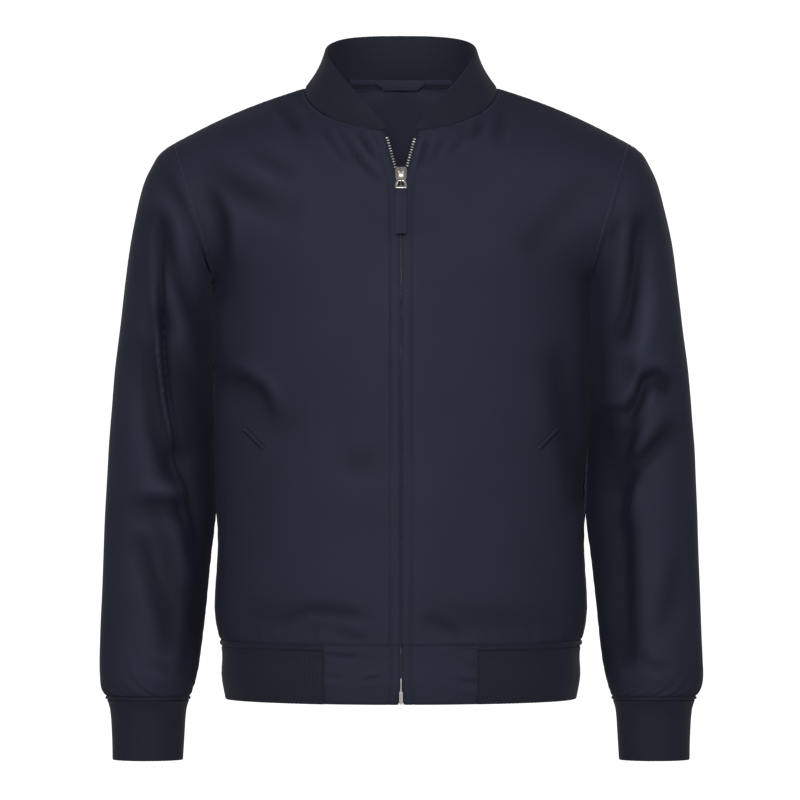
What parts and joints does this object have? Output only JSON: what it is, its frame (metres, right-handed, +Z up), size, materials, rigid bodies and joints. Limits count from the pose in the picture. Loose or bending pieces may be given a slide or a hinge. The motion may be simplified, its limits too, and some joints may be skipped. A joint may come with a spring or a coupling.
{
  "type": "bomber jacket",
  "caption": "Zip-front bomber jacket in smooth dark cloth, worn shape with no wearer, with ribbed collar, cuffs and hem and small slanted pocket welts.",
  "frame": {"origin": "middle of the shoulder line, between the side neck points, where the wearer carries the jacket", "axes": "+Z up, the front faces -Y, +X is the wearer's left"},
  "size_m": [0.6308, 0.2705, 0.7581],
  "materials": {
    "shell_cloth": "smooth fine twill, soft sheen, dark navy",
    "rib_knit": "fine ribbed knit, matte, dark navy",
    "tape_cloth": "woven tape, matte, near black",
    "zip_metal": "polished, warm silver"
  },
  "bodies": {
    "jacket": {"front_left": "shell_cloth", "front_right": "shell_cloth", "back": "shell_cloth", "sleeve_left": "shell_cloth", "sleeve_right": "shell_cloth", "pocket_welt_left": "shell_cloth", "pocket_welt_right": "shell_cloth", "hanger_tab": "shell_cloth", "hem_rib": "rib_knit", "collar": "rib_knit", "cuff_left": "rib_knit", "cuff_right": "rib_knit", "zip_tape_left": "tape_cloth", "zip_tape_right": "tape_cloth", "neck_tape": "tape_cloth", "zip_slider": "zip_metal", "zip_retainer": "zip_metal"},
    "zip_pull": {"zip_pull": "zip_metal", "pull_tab": "shell_cloth"}
  },
  "joints": [
    {"name": "zip_pull_hinge", "type": "hinge", "parent": "jacket", "child": "zip_pull", "pos_m": [0, -0.1039, -0.09155], "axis": [-1, 0, 0], "range_deg": [0, 150]}
  ]
}
